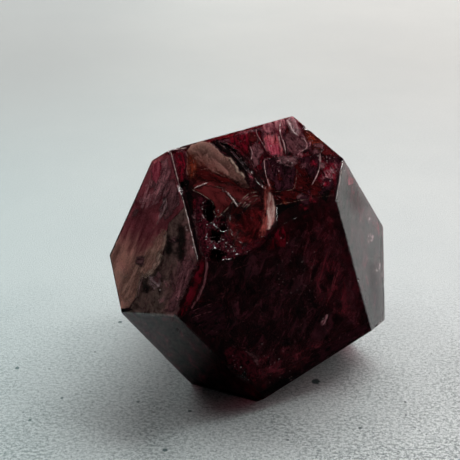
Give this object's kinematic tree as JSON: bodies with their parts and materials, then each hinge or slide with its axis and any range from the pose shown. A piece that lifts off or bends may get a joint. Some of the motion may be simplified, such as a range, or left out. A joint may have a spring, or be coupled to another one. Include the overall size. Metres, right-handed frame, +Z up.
{
  "type": "polished garnet crystal",
  "caption": "Palm-sized wine-red garnet crystal with flat polished facets, a shell-like scoop with pits on its front crown edge, small chips, and a flat base facet.",
  "frame": {"origin": "centre of the bounding box's bottom face, on the surface that the crystal rests on", "axes": "+Z up, out of the resting face; -Y towards the large front facet and the scooped crown edge; +X to the right as seen from the front"},
  "size_m": [0.0598, 0.061, 0.0497],
  "materials": {
    "garnet": "polished clear dark red crystal, matt and rough where it is chipped or pitted"
  },
  "bodies": {
    "root": {"garnet_crystal": "garnet"}
  },
  "joints": []
}
